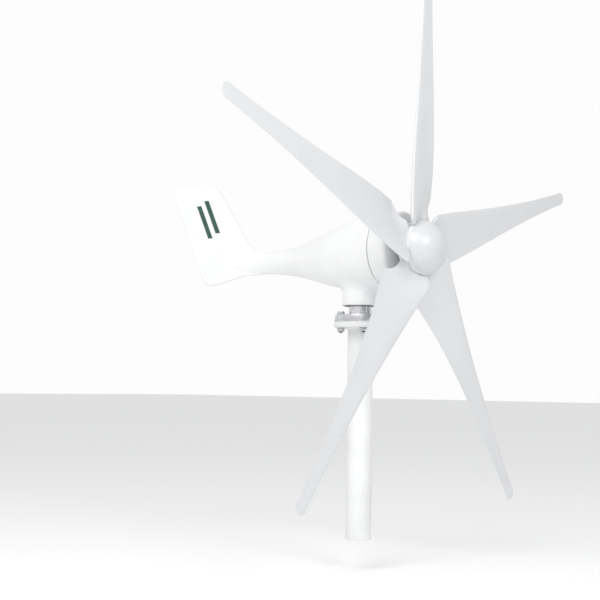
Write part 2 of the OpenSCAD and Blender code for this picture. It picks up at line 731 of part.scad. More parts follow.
module nose_cone() color("whitesmoke")
    difference() {
        union() {
            on_axis(overhang) difference() {
                nose_ball(0);
                translate([0, 0, nose_base + nose_dome - nose_sphere_r])
                    sphere(r = nose_sphere_r - nose_wall);
            }
            intersection() {
                nose_screw_places() cylinder(r = 5, h = nose_base + 16);
                on_axis(overhang) nose_ball(1);
            }
        }
        nose_screw_places() cylinder(d = nose_screw_d + 2 * fit_gap, h = nose_base + 11);
    }

module nose_screws() color("silver")
    nose_screw_places() translate([0, 0, pad_back - hub_plate_t - 2 * seat_gap]) {
        translate([0, 0, -2.5]) cylinder(d = 7, h = 2.5);
        cylinder(d = nose_screw_d, h = hub_plate_t + pad_t + clamp_plate_t + 10);
    }

// ---------------------------------------------------------------- blades

blade_lean = 3.6;           // how far the quarter-chord line stands forward of the hub plane
blade_set = 2;              // how far the planform's middle stands towards the trailing side
root_from = 17;             // inner end of the flat pad
sheet_from = 37;            // inner end of the twisted part
station_root = 60;
trim_to = 98;               // the trailing side is cut back inboard of this radius
tip_cap = 14;
section_points = 12;        // points along each face of a section

function clamp01(x) = max(0, min(1, x));
function outboard(r) = max(0, (rotor_r - r) / (rotor_r - station_root));
function chord(r) = chord_tip + (chord_root - chord_tip) * pow(outboard(r), 1.75);
function twist(r) = twist_tip + (twist_root - twist_tip) * pow(outboard(r), 4.4);
function thickness(r) = 2 + 4.6 * pow(outboard(r), 1.6);
function tip_round(r) = let (x = (rotor_r - r) / tip_cap) x >= 1 ? 1 : sqrt(1 - (1 - x) * (1 - x));

// Aerofoil section in chord coordinates: x from 0 at the leading edge to 1, then half thickness.
function foil(x) = 2.969 * sqrt(x) - 1.26 * x - 3.516 * x * x + 2.843 * x * x * x - 0.95 * x * x * x * x;
function camber(x) = -0.12 * x * (1 - x);

// Near the hub the section keeps its leading edge, its trailing side is cut short and laid flat,
// and both of its edges are rounded.
function cut(r) = 1 - ease((r - 45) / (trim_to - 45));
function cut_rear(r) = 0.77 - 0.006 * max(0, 52 - r) + 0.23 * pow(clamp01((r - 60) / (trim_to - 60)), 3);
function cut_front(r) = 0.2 * pow(clamp01((54 - r) / 18), 2);
function plate(u) = 0.82 * sqrt(max(0, 1 - pow(abs(cos(180 * u)), 5)));
function flat(r, x) = (1 - clamp01((r - 60) / (trim_to - 60))) * ease((x - 0.42) / 0.26);

// One point of the section at radius r: u runs 0 to 1 from edge to edge, face is 1 forward or -1 back.
function blade_point(r, u, face) =
    let (c = chord(r) * (0.25 + 0.75 * tip_round(r)) - (1 - tip_round(r)) * chord_tip * 0.2,
         b = twist(r),
         x = cut_front(r) + (cut_rear(r) - cut_front(r)) * (1 - cos(180 * u)) / 2,
         across = (x - 0.5) * c,
         half = (foil(x) * (1 - cut(r)) + plate(u) * cut(r)) * thickness(r),
         off = camber(x) * c + face * half * (0.35 + 0.65 * tip_round(r)),
         lever = (x - 0.25) * c,
         mid = (blade_lean - lever * sin(b)) * (1 - flat(r, x)) + (pad_front + pad_back) / 2 * flat(r, x))
    [blade_set + across * cos(b) + off * sin(b), r, mid + off * cos(b)];

blade_steps = concat([for (u = [0, 0.07, 0.15, 0.24, 0.34, 0.45, 0.56, 0.66, 0.75, 0.83, 0.89, 0.95, 1])
    sheet_from + u * (trim_to - sheet_from)],
    [for (u = [0.045, 0.1, 0.17, 0.25, 0.34, 0.44, 0.55, 0.67, 0.79, 0.88, 0.94])
        trim_to + u * (rotor_r - trim_to)]);
tip_steps = [for (k = [0 : 5]) rotor_r - tip_cap * (1 - sin(15 * k + 5))];

function blade_ring(r) = concat(
    [for (i = [0 : section_points]) blade_point(r, i / section_points, 1)],
    [for (i = [section_points - 1 : -1 : 1]) blade_point(r, i / section_points, -1)]);

// The flat pad the hub plates clamp is a wedge with a notch for one of the nose's screws.
function sector(r) = r * tan(pitch_a / 2) - 1.5;
lap_z = pad_front + 1;      // the leading lip passes in front of the next blade's root above this

module blade_pad()
    translate([0, 0, pad_back]) intersection() {
        linear_extrude(pad_t) polygon([[-sector(root_from), root_from], [-sector(pad_r), pad_r],
            [sector(pad_r), pad_r], [sector(root_from), root_from]]);
        ring(pad_r, root_from, pad_t);
    }

module blade(k) color("gainsboro")
    at_blade(k) difference() {
        union() {
            loft([for (r = concat(blade_steps, tip_steps)) blade_ring(r)]);
            blade_pad();
        }
        translate([0, 0, pad_front]) cylinder(r = nose_r + 0.6, h = 80);
        translate([0, 0, pad_back - 60]) cylinder(r = pad_r + 0.6, h = 60);
        rotate([0, 0, pitch_a / 2]) translate([-80, 0, -60]) cube([80.5, 120, 60 + lap_z]);
        rotate([0, 0, -pitch_a / 2]) translate([-0.5, 0, -60]) cube([80, 58, 120]);
        rotate([0, 0, -nose_screw_a]) translate([0, nose_screw_r, -30])
            cylinder(d = nose_screw_d + 1, h = 60);
        blade_bolt_places() translate([0, 0, -30]) cylinder(d = blade_bolt_d + 0.3, h = 60);
    }

module blade_1() blade(1);
module blade_2() blade(2);
module blade_3() blade(3);
module blade_4() blade(4);
module blade_5() blade(5);

// ---------------------------------------------------------------- nodes

mast_tube();
mast_flange();
mast_weld();
yaw_spindle();
flange_bolts();
flange_washers();
flange_nuts();
yaw_lock_nut();
slip_ring_core();
slip_rings();
yaw_lower_inner_race();
yaw_upper_inner_race();
yaw_lower_balls();
yaw_upper_balls();
nacelle_shell();
front_housing();
through_bolts();
stator_core();
stator_coils();
end_plate();
front_outer_race();
rear_outer_race();
shaft_seal();
yaw_lower_outer_race();
yaw_upper_outer_race();
neck_seal();
brush_holder();
brushes();
brush_springs();
holder_screw();
phase_leads();
fin_decals();
main_shaft();
rotor_core();
magnets();
front_inner_race();
rear_inner_race();
front_balls();
rear_balls();
shaft_key();
hub_plate();
clamp_plate();
blade_1();
blade_2();
blade_3();
blade_4();
blade_5();
blade_bolts();
blade_nuts();
hub_nut();
hub_washer();
nose_cone();
nose_screws();
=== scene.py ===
import math

import bpy
from mathutils import Matrix, Vector


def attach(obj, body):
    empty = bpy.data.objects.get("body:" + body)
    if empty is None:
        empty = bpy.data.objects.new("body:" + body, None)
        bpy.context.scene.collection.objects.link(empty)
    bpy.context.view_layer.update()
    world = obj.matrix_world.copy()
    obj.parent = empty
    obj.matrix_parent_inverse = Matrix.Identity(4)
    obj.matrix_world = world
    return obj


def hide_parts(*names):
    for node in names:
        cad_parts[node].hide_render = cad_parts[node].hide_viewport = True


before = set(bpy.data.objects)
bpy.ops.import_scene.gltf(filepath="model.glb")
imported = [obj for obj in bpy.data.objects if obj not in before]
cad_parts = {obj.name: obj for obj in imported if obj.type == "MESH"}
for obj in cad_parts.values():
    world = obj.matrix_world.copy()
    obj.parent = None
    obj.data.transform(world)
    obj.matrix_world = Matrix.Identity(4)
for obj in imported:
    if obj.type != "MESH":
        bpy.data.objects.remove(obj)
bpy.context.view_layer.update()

# ---------------------------------------------------------------- studio
# A plain pale floor under white, even light: a sky dome, a large soft key lamp high on the
# left, and a weaker lamp on the right, in front of the rotor. The camera and the reflections see
# a brighter backdrop than the one that lights the turbine, and the floor glows a little. The
# blades sweep below the mast's lower end, so the floor lies a little under it.
FLOOR_Z = -0.06
FLOOR_SIZE = 60
camera = bpy.data.objects.new("camera", bpy.data.cameras.new("camera"))
bpy.context.scene.collection.objects.link(camera)
camera.data.lens = 72.344
camera.data.sensor_width = 36
camera.data.clip_end = 60
camera_place = Vector((-1.9151, -1.4147, 0.2955))
back = Vector((-0.77139, -0.63234, -0.07142)).normalized()
heading = math.radians(-50.66)
right = Vector((math.cos(heading), math.sin(heading), 0))
right = (right - right.dot(back) * back).normalized()
above = back.cross(right)
roll = math.radians(0.81)
side_axis = right * math.cos(roll) + above * math.sin(roll)
up_axis = above * math.cos(roll) - right * math.sin(roll)
camera.matrix_world = Matrix((
    (side_axis.x, up_axis.x, back.x, camera_place.x),
    (side_axis.y, up_axis.y, back.y, camera_place.y),
    (side_axis.z, up_axis.z, back.z, camera_place.z),
    (0, 0, 0, 1),
))
bpy.context.scene.camera = camera

world = bpy.data.worlds.new("studio")
bpy.context.scene.world = world
world.use_nodes = True
nodes, links = world.node_tree.nodes, world.node_tree.links
sky = nodes["Background"]
sky.inputs["Color"].default_value = (0.97, 0.985, 1.0, 1)
sky.inputs["Strength"].default_value = 0.47
backdrop = nodes.new("ShaderNodeBackground")
backdrop.inputs["Color"].default_value = (1.0, 1.0, 1.0, 1)
backdrop.inputs["Strength"].default_value = 0.98
seen = nodes.new("ShaderNodeLightPath")
bright = nodes.new("ShaderNodeMath")
bright.operation = "MAXIMUM"
links.new(seen.outputs["Is Camera Ray"], bright.inputs[0])
links.new(seen.outputs["Is Glossy Ray"], bright.inputs[1])
either = nodes.new("ShaderNodeMixShader")
links.new(bright.outputs[0], either.inputs["Fac"])
links.new(sky.outputs["Background"], either.inputs[1])
links.new(backdrop.outputs["Background"], either.inputs[2])
links.new(either.outputs["Shader"], nodes["World Output"].inputs["Surface"])
bpy.context.scene.view_settings.view_transform = "Standard"


def lamp(name, place, aim, size, power, colour):
    light = bpy.data.lights.new(name, "AREA")
    light.shape = "RECTANGLE"
    light.size, light.size_y = size
    light.energy = power
    light.color = colour
    holder = bpy.data.objects.new(name, light)
    bpy.context.scene.collection.objects.link(holder)
    holder.location = place
    holder.rotation_euler = (Vector(place) - Vector(aim)).to_track_quat("Z", "Y").to_euler()


lamp("key_lamp", place=(-2.2, -0.4, 2.3), aim=(0, 0, 0.55), size=(1.9, 1.4), power=40,
     colour=(1.0, 0.995, 0.985))
lamp("front_lamp", place=(-1.3, -2.6, 1.9), aim=(0, 0, 0.5), size=(1.2, 1.2), power=28,
     colour=(1.0, 1.0, 1.0))


def select_only(*pieces):
    bpy.ops.object.select_all(action="DESELECT")
    for piece in pieces:
        piece.select_set(True)
    bpy.context.view_layer.objects.active = pieces[0]


bpy.ops.object.select_all(action="DESELECT")
bpy.ops.mesh.primitive_plane_add(size=FLOOR_SIZE, location=(0, 0, FLOOR_Z))
floor = bpy.context.object
floor.name = floor.data.name = "studio_floor"
select_only(floor)
bpy.ops.object.transform_apply(location=True, rotation=True, scale=True)
bpy.ops.object.mode_set(mode="EDIT")
bpy.ops.mesh.select_all(action="SELECT")
bpy.ops.mesh.subdivide(number_cuts=8)
bpy.ops.object.mode_set(mode="OBJECT")
floor_paint = bpy.data.materials.new("studio_floor")
floor_paint.use_nodes = True
floor_shader = floor_paint.node_tree.nodes["Principled BSDF"]
for socket, value in (("Base Color", (0.75, 0.75, 0.75, 1)), ("Roughness", 0.9),
                      ("Emission Color", (1, 1, 1, 1)), ("Emission Strength", 0.34)):
    floor_shader.inputs[socket].default_value = value
floor.data.materials.append(floor_paint)


# ---------------------------------------------------------------- mast tube
# The mast is a length of steel tube, 50 mm across with a 2.5 mm wall, cut square and deburred
# at its lower end. It is powder coated white, a satin coat with a faint orange peel, a little
# duller and dustier in patches. Its top is turned down where the flange slips over it.
MM = 0.001
ON_AXIS = 0.0001  # closes a turned profile in a pole
TUBE_R = 25
BORE_R = 22.5
SPIGOT_R = 24.5
SHOULDER_Z = 407.8
TUBE_TOP = 420.9


def surface(name, colour, rough, metal=0.0, tint=0.03, patch=14.0, grain=700.0, depth=0.03,
            rough_change=0.06, coat=0.0, coat_rough=0.12, edge=0.0, lines=None, fleck=0.0):
    """A finish with patches in its colour and gloss, a fine grain, darker worn edges, and painted shade
    in its inside corners and creases.
    """
    made = bpy.data.materials.new(name)
    made.use_nodes = True
    made.diffuse_color = (*colour, 1)
    tree = made.node_tree
    shader = tree.nodes["Principled BSDF"]
    shader.inputs["Metallic"].default_value = metal
    shader.inputs["Coat Weight"].default_value = coat
    shader.inputs["Coat Roughness"].default_value = coat_rough
    place = tree.nodes.new("ShaderNodeTexCoord").outputs["Object"]

    def noise(scale, detail=4.0, roughness=0.55):
        node = tree.nodes.new("ShaderNodeTexNoise")
        node.inputs["Scale"].default_value = scale
        node.inputs["Detail"].default_value = detail
        node.inputs["Roughness"].default_value = roughness
        tree.links.new(place, node.inputs["Vector"])
        return node.outputs["Fac"]

    def spread(value, low, high, start=0.35, end=0.65):
        node = tree.nodes.new("ShaderNodeMapRange")
        for socket, number in (("From Min", start), ("From Max", end), ("To Min", low), ("To Max", high)):
            node.inputs[socket].default_value = number
        tree.links.new(value, node.inputs["Value"])
        return node.outputs["Result"]

    def blend(factor, first, second):
        node = tree.nodes.new("ShaderNodeMix")
        node.data_type = "RGBA"
        tree.links.new(factor, node.inputs["Factor"])
        for socket, value in ((6, first), (7, second)):
            if isinstance(value, tuple):
                node.inputs[socket].default_value = (*value, 1)
            else:
                tree.links.new(value, node.inputs[socket])
        return node.outputs[2]

    darker = tuple(c * (1 - tint) for c in colour)
    lighter = tuple(min(1.0, c * (1 + tint * 0.6)) for c in colour)
    shade = blend(spread(noise(patch), 0, 1), darker, lighter)
    if fleck:
        speck = spread(noise(patch * 40, 2), 0, 1, 0.66, 0.74)
        shade = blend(speck, shade, tuple(c * (1 - fleck) for c in colour))
    if edge:
        point = tree.nodes.new("ShaderNodeNewGeometry").outputs["Pointiness"]
        worn = spread(point, 0, edge, 0.53, 0.62)
        shade = blend(worn, shade, tuple(min(1.0, c * 0.82) for c in colour))
        # Painted shade: where pointiness is low, in inside corners and creases, the colour is darkened to
        # 80 %.
        crevice_shade = spread(point, edge, 0, 0.42, 0.49)
        shade = blend(crevice_shade, shade, tuple(c * 0.8 for c in colour))
    tree.links.new(shade, shader.inputs["Base Color"])
    tree.links.new(spread(noise(patch * 3, 5), rough - rough_change, rough + rough_change),
                   shader.inputs["Roughness"])
    height = noise(grain, 3)
    if lines:
        wave = tree.nodes.new("ShaderNodeTexWave")
        wave.wave_type = "RINGS"
        wave.rings_direction = lines[0]
        wave.inputs["Scale"].default_value = lines[1]
        wave.inputs["Distortion"].default_value = 0.6
        centre = tree.nodes.new("ShaderNodeMapping")
        centre.inputs["Location"].default_value = lines[2]
        tree.links.new(place, centre.inputs["Vector"])
        tree.links.new(centre.outputs["Vector"], wave.inputs["Vector"])
        mixed = tree.nodes.new("ShaderNodeMath")
        mixed.operation = "ADD"
        tree.links.new(height, mixed.inputs[0])
        tree.links.new(wave.outputs["Fac"], mixed.inputs[1])
        height = mixed.outputs[0]
    bump = tree.nodes.new("ShaderNodeBump")
    bump.inputs["Strength"].default_value = 0.6
    bump.inputs["Distance"].default_value = depth * MM
    tree.links.new(height, bump.inputs["Height"])
    tree.links.new(bump.outputs["Normal"], shader.inputs["Normal"])
    return made


def turned(name, outline, steps=96):
    """A closed outline of radius and height, in millimetres, spun once round the Z axis."""
    bpy.ops.object.select_all(action="DESELECT")
    bpy.ops.mesh.primitive_plane_add(size=1)
    piece = bpy.context.object
    piece.name = piece.data.name = name
    bpy.ops.object.mode_set(mode="EDIT")
    bpy.ops.mesh.select_all(action="SELECT")
    bpy.ops.mesh.merge(type="CENTER")
    bpy.ops.transform.translate(value=(outline[0][0] * MM, 0, outline[0][1] * MM))
    for start, end in zip(outline, outline[1:] + outline[:1]):
        step = ((end[0] - start[0]) * MM, 0, (end[1] - start[1]) * MM)
        bpy.ops.mesh.extrude_region_move(TRANSFORM_OT_translate={"value": step})
    bpy.ops.mesh.select_all(action="SELECT")
    bpy.ops.mesh.remove_doubles(threshold=1e-7)
    bpy.ops.mesh.spin(steps=steps, angle=2 * math.pi, center=(0, 0, 0), axis=(0, 0, 1))
    bpy.ops.mesh.select_all(action="SELECT")
    bpy.ops.mesh.remove_doubles(threshold=1e-6)
    bpy.ops.mesh.normals_make_consistent(inside=False)
    bpy.ops.object.mode_set(mode="OBJECT")
    return piece


def finished(piece, material, angle=32):
    """Smooth shading with crisp corners, and one material all over."""
    select_only(piece)
    bpy.ops.object.shade_smooth_by_angle(angle=math.radians(angle))
    piece.data.materials.clear()
    piece.data.materials.append(material)
    return piece


def softened(piece, width, segments=2, angle=40):
    """Broken edges: a small round on every corner sharper than the angle."""
    select_only(piece)
    edge = piece.modifiers.new("broken edges", "BEVEL")
    edge.width = width * MM
    edge.segments = segments
    edge.limit_method = "ANGLE"
    edge.angle_limit = math.radians(angle)
    bpy.ops.object.modifier_apply(modifier=edge.name)
    return piece


mast_white = surface("mast powder coat", (0.85, 0.852, 0.853), 0.34, tint=0.035, patch=16,
                     grain=900, depth=0.03, edge=0.5, fleck=0.06)
mast_tube = turned("mast_pole", [
    (BORE_R, 0.8), (23.2, 0.1), (24.3, 0.1), (TUBE_R, 0.8), (TUBE_R, 140), (TUBE_R, 280),
    (TUBE_R, SHOULDER_Z), (SPIGOT_R, SHOULDER_Z), (SPIGOT_R, TUBE_TOP), (BORE_R, TUBE_TOP),
    (BORE_R, 280), (BORE_R, 140)])
finished(mast_tube, mast_white)
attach(mast_tube, "mast")
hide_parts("mast_tube")


# ---------------------------------------------------------------- mast flange and its weld
# A flat steel ring, 104 mm across and 11 mm thick, slipped over the tube's end and welded
# underneath with one run of fillet weld. Ring and weld are coated white with the tube; the
# four holes are drilled on a 78 mm circle.
SLIP_R = 24.55
RING_LOW = 412
RING_TOP = 423
BOLT_CIRCLE = 39
BOLT_HOLE_R = 4.5
RIPPLES = 48
RIPPLE_DEPTH = 0.0065


def cut(piece, *tools, operation="DIFFERENCE"):
    """Machines the tools away from the piece and removes them."""
    for tool in tools:
        select_only(piece)
        step = piece.modifiers.new("machined", "BOOLEAN")
        step.operation = operation
        step.solver = "EXACT"
        step.object = tool
        bpy.ops.object.modifier_apply(modifier=step.name)
        bpy.data.objects.remove(tool)
    return piece


def drill(radius, place, depth, sides=32):
    """A cutter standing on the place, in millimetres, along Z."""
    bpy.ops.object.select_all(action="DESELECT")
    bpy.ops.mesh.primitive_cylinder_add(
        vertices=sides, radius=radius * MM, depth=depth * MM,
        location=(place[0] * MM, place[1] * MM, (place[2] + depth / 2) * MM))
    tool = bpy.context.object
    bpy.ops.object.transform_apply(location=True, rotation=True, scale=True)
    return tool


bolt_places = [(BOLT_CIRCLE * math.cos(math.radians(45 + 90 * k)),
                BOLT_CIRCLE * math.sin(math.radians(45 + 90 * k))) for k in range(4)]

mast_ring = turned("mast_ring", [
    (SLIP_R, RING_LOW), (50.8, RING_LOW), (51.6, 412.3), (52, 413.1), (52, 421.9), (51.6, 422.7),
    (50.8, RING_TOP), (23.0, RING_TOP), (BORE_R, 422.5), (BORE_R, 421), (SLIP_R, 421)], 128)
cut(mast_ring, *[drill(BOLT_HOLE_R, (x, y, 405), 30) for x, y in bolt_places])
softened(mast_ring, 0.35, 1, 60)
finished(mast_ring, mast_white)
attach(mast_ring, "mast")
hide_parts("mast_flange")

weld_bead = turned("weld_bead", [
    (SLIP_R, 407.95), (25.2, 408.1), (26.3, 408.7), (27.5, 409.7), (28.4, 410.8), (28.95, 411.9),
    (SLIP_R, 411.9)], 288)
for corner in weld_bead.data.vertices:
    place = corner.co
    reach = math.hypot(place.x, place.y)
    if reach > 25.6 * MM and place.z < 411.8 * MM:
        turn = math.atan2(place.y, place.x)
        ripple = 1 + RIPPLE_DEPTH * math.sin(RIPPLES * turn) + 0.003 * math.sin(7 * turn + 1)
        place.x *= ripple
        place.y *= ripple
finished(weld_bead, mast_white, 50)
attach(weld_bead, "mast")
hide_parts("mast_weld")

# ---------------------------------------------------------------- yaw spindle
# Turned from one steel bar: a polished flange that bolts to the mast's, a short collar under
# the nacelle's neck, and the journal that the yaw bearings run on. It is left bare, with fine
# turning lines round it.
spindle_steel = surface("turned spindle steel", (0.68, 0.685, 0.70), 0.23, metal=1.0, tint=0.22,
                        patch=38, grain=1500, depth=0.012, rough_change=0.05,
                        lines=("Z", 420, (0, 0, 0)))
spindle = turned("yaw_post", [
    (9, RING_TOP), (50, RING_TOP), (50.8, 423.2), (51.3, 423.7), (51.5, 424.4), (51.5, 435.6),
    (51.3, 436.3), (50.8, 436.8), (50, 437), (25.5, 437), (24.4, 437.5), (23.7, 438.3),
    (23.5, 439.2), (23.5, 457.8), (20, 458), (20, 474), (17, 474), (17, 501), (15, 501),
    (15, 513), (14, 513.5), (14, 522.6), (13.4, 523), (9.6, 523), (9, 522.4)], 128)
cut(spindle, *[drill(BOLT_HOLE_R, (x, y, 415), 30) for x, y in bolt_places])
finished(spindle, spindle_steel)
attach(spindle, "mast")
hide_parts("yaw_spindle")

# ---------------------------------------------------------------- flange bolts, washers, nuts
# Four M8 zinc plated hexagon bolts come down through both flanges, each with a washer under
# its head and one above its nut. Heads and nuts are forged, with their corners chamfered, and
# the thread shows at the end below the nut.
HEX_ACROSS = 13
SHANK_R = 3.95
THREAD_ROOT_R = 3.4
THREAD_PITCH = 0.32
THREAD_TURNS = 9
WASHER_SQUEEZE = 0.99

zinc = surface("zinc plate", (0.60, 0.61, 0.63), 0.28, metal=1.0, tint=0.12, patch=60, grain=2200,
               depth=0.02, rough_change=0.1, edge=0.5)


def hexagon(name, across, low, high, crown):
    """A hexagon between two heights, its corners turned off under a crown at the top and bottom."""
    bpy.ops.object.select_all(action="DESELECT")
    bpy.ops.mesh.primitive_cylinder_add(vertices=6, radius=across / math.sqrt(3) * MM,
                                        depth=(high - low) * MM, location=(0, 0, (low + high) / 2 * MM))
    piece = bpy.context.object
    piece.name = piece.data.name = name
    bpy.ops.object.transform_apply(location=True, rotation=True, scale=True)
    wide = across / 2 * 1.16
    rim = across / 2 * 0.96
    fall = 0.9
    lower = (rim, low) if crown == "both" else (wide, low)
    envelope = turned("crown", [(ON_AXIS, low), lower, (wide, low + fall), (wide, high - fall),
                                (rim, high), (ON_AXIS, high)], 48)
    cut(piece, envelope, operation="INTERSECT")
    return softened(piece, 0.18, 2, 20)


def joined(name, *parts):
    select_only(*parts)
    bpy.ops.object.join()
    parts[0].name = parts[0].data.name = name
    return parts[0]


def copied(piece, name, turn):
    """A copy with its own mesh, moved in place by a matrix."""
    twin = piece.copy()
    twin.data = piece.data.copy()
    twin.name = twin.data.name = name
    bpy.context.scene.collection.objects.link(twin)
    twin.data.transform(turn)
    return twin


thread = [(SHANK_R, 405.0)]
for k in range(THREAD_TURNS):
    thread += [(THREAD_ROOT_R, 404.6 - THREAD_PITCH * k), (SHANK_R, 404.45 - THREAD_PITCH * k)]
bolt_head = hexagon("bolt_head", HEX_ACROSS, 438.65, 443.9, "top")
bolt_shank = turned("bolt_shank", [(ON_AXIS, 438.8), (SHANK_R, 438.8)] + thread
                    + [(3.3, 401.7), (ON_AXIS, 401.4)], 32)
flange_bolt = joined("flange_bolt", bolt_head, bolt_shank)
washer_profile = [(4.2, 0), (7.7, 0), (8, 0.25), (8, 1.35), (7.7, 1.6), (4.2, 1.6)]
washer_top = turned("washer_top", [(r, 437.02 + z * WASHER_SQUEEZE) for r, z in washer_profile], 48)
washer_low = turned("washer_low", [(r, 410.4 + z * WASHER_SQUEEZE) for r, z in washer_profile], 48)
washer_pair = joined("washer_pair", washer_top, washer_low)
nut = hexagon("flange_nut", HEX_ACROSS, 404.0, 410.38, "both")
cut(nut, drill(4.0, (0, 0, 400), 20))
for part in (flange_bolt, washer_pair, nut):
    finished(part, zinc, 30)
groups = {"flange_bolts": flange_bolt, "flange_washers": washer_pair, "flange_nuts": nut}
for node, master in groups.items():
    for k, (x, y) in enumerate(bolt_places, 1):
        spot = Matrix.Translation((x * MM, y * MM, 0)) @ Matrix.Rotation(math.radians(17 * k), 4, "Z")
        twin = copied(master, f"{master.name}_{k}", spot)
        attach(twin, "mast")
        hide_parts(node)
    bpy.data.objects.remove(master)

# ---------------------------------------------------------------- nacelle casting
# One aluminium casting: the rear half of the generator's barrel, the tapering boom, the tail
# fin and the neck that holds the yaw bearings. It is powder coated gloss white. Where the fin
# and the neck meet the body, the casting flows together in soft fillets.
AXIS_Z = 562
CAST_WALL = 4.5
CAST_VOXEL = 1.75
STATIONS = 190
NECK_R = 37
NECK_FILLET = 14
FIN_HALF = 4
CORNER_STEPS = 16
BODY = [(-68, 76, -76, 76), (-30, 73.5, -74.5, 74), (-3, 69, -73, 71), (26, 61, -71, 65.5),
        (63, 49.5, -66.5, 57.5), (100, 37.7, -56.5, 46), (127, 29, -49.5, 38), (153, 23, -43, 31),
        (180, 19.3, -38.7, 25), (210, 16.8, -34.8, 19), (244, 15.9, -32.5, 13), (300, 13, -30, 7),
        (350, 6, -22, 3.5)]


def station(y):
    """Top, bottom and half width of the body at a place along it, on a smooth curve."""
    y = min(max(y, BODY[0][0]), BODY[-1][0])
    k = max(i for i in range(len(BODY) - 1) if BODY[i][0] <= y)
    before, start, end, after = (BODY[max(k - 1, 0)], BODY[k], BODY[k + 1],
                                 BODY[min(k + 2, len(BODY) - 1)])
    gap = end[0] - start[0]
    w = (y - start[0]) / gap
    result = []
    for i in (1, 2, 3):
        m0 = (end[i] - before[i]) / (end[0] - before[0]) * gap
        m1 = (after[i] - start[i]) / (after[0] - start[0]) * gap
        result.append((2 * w**3 - 3 * w**2 + 1) * start[i] + (w**3 - 2 * w**2 + w) * m0
                      + (3 * w**2 - 2 * w**3) * end[i] + (w**3 - w**2) * m1)
    return result


def lofted(name, rings):
    """A closed skin over rings of points, in millimetres, with a cap at each end."""
    count = len(rings[0])
    points = [tuple(c * MM for c in point) for ring in rings for point in ring]
    faces = [tuple(range(count))[::-1], tuple(range((len(rings) - 1) * count, len(rings) * count))]
    for j in range(len(rings) - 1):
        for i in range(count):
            a, b = j * count + i, j * count + (i + 1) % count
            faces.append((a, b, b + count, a + count))
    mesh = bpy.data.meshes.new(name)
    mesh.from_pydata(points, [], faces)
    piece = bpy.data.objects.new(name, mesh)
    bpy.context.scene.collection.objects.link(piece)
    select_only(piece)
    bpy.ops.object.mode_set(mode="EDIT")
    bpy.ops.mesh.select_all(action="SELECT")
    bpy.ops.mesh.normals_make_consistent(inside=False)
    bpy.ops.object.mode_set(mode="OBJECT")
    return piece


def body_ring(y, wall, count=96):
    top, low, half = station(y)
    mid, high = (top + low) / 2, (top - low) / 2
    return [((half - wall) * math.cos(2 * math.pi * i / count), y,
             AXIS_Z + mid - (high - wall) * math.sin(2 * math.pi * i / count)) for i in range(count)]


def body_low(x, y):
    top, low, half = station(y)
    return AXIS_Z + (top + low) / 2 - (top - low) / 2 * math.sqrt(max(0, 1 - (x / half) ** 2))


def fillet_ring(radius, drop, count=96):
    ring = []
    for i in range(count):
        x, y = (radius * math.cos(2 * math.pi * i / count), radius * math.sin(2 * math.pi * i / count))
        ring.append((x, y, body_low(x, y) - drop))
    return ring


def fin_outline():
    """The fin's corners, each rounded to its own radius."""
    corners = [(235, -31, 0), (235, 14, 0), (285, 16, 60), (400.7, 178, 75), (537.5, 178, 10),
               (423, -55, 28), (310, -33, 120)]
    outline = []
    for k, (y, z, radius) in enumerate(corners):
        here = Vector((y, z))
        if not radius:
            outline.append(here)
            continue
        to_last = (Vector(corners[k - 1][:2]) - here).normalized()
        to_next = (Vector(corners[(k + 1) % len(corners)][:2]) - here).normalized()
        half = to_last.angle(to_next) / 2
        centre = here + (to_last + to_next).normalized() * radius / math.sin(half)
        first = here + to_last * radius / math.tan(half) - centre
        last = here + to_next * radius / math.tan(half) - centre
        swing = first.angle_signed(last)
        for step in range(CORNER_STEPS + 1):
            a = swing * step / CORNER_STEPS
            outline.append(centre + Vector((first.x * math.cos(a) + first.y * math.sin(a),
                                            first.y * math.cos(a) - first.x * math.sin(a))))
    return outline


body_from, body_to = BODY[0][0], BODY[-1][0]
barrel_and_boom = lofted("nacelle_casting", [
    body_ring(body_from + (body_to - body_from) * k / STATIONS, 0) for k in range(STATIONS + 1)])
fin_sides = [[(x, p.x, AXIS_Z + p.y) for p in fin_outline()] for x in (FIN_HALF, -FIN_HALF)]
fin_slab = lofted("fin_slab", fin_sides)
neck_rings = [fillet_ring(36, 15)]
for k in range(11):
    w = math.radians(9 * k)
    neck_rings.append(fillet_ring(NECK_R + NECK_FILLET * (1 - math.cos(w)),
                                  NECK_FILLET * (1 - math.sin(w)) - 0.02))
neck_rings.append(fillet_ring(48, -3))
neck_skirt = lofted("neck_skirt", neck_rings[::-1])
neck_tube = turned("neck_tube", [(ON_AXIS, 455), (36.2, 455), (NECK_R, 455.8), (NECK_R, 514),
                                 (ON_AXIS, 514)], 96)
casting = joined("nacelle_casting", barrel_and_boom, fin_slab, neck_skirt, neck_tube)
select_only(casting)
skin = casting.modifiers.new("cast skin", "REMESH")
skin.mode = "VOXEL"
skin.voxel_size = CAST_VOXEL * MM
bpy.ops.object.modifier_apply(modifier=skin.name)
flow = casting.modifiers.new("cast flow", "SMOOTH")
flow.factor = 0.5
flow.iterations = 7
bpy.ops.object.modifier_apply(modifier=flow.name)
seat = turned("front_seat", [(ON_AXIS, 50), (70.9, 50), (70.9, 90), (ON_AXIS, 90)], 128)
trim = turned("front_trim", [(ON_AXIS, 67.95), (120, 67.95), (120, 110), (ON_AXIS, 110)], 64)
forward = Matrix.Translation((0, 0, AXIS_Z * MM)) @ Matrix.Rotation(math.radians(90), 4, "X")
for tool in (seat, trim):
    tool.data.transform(forward)
hollow = lofted("hollow", [body_ring(y, CAST_WALL, 72) for y in range(-61, 196, 8)])
neck_bore = turned("neck_bore", [(ON_AXIS, 440), (34, 440), (34, 473), (30, 474), (30, 496), (27.5, 501),
                                 (27.5, 530), (ON_AXIS, 530)], 96)
cut(casting, trim, hollow, seat, neck_bore)
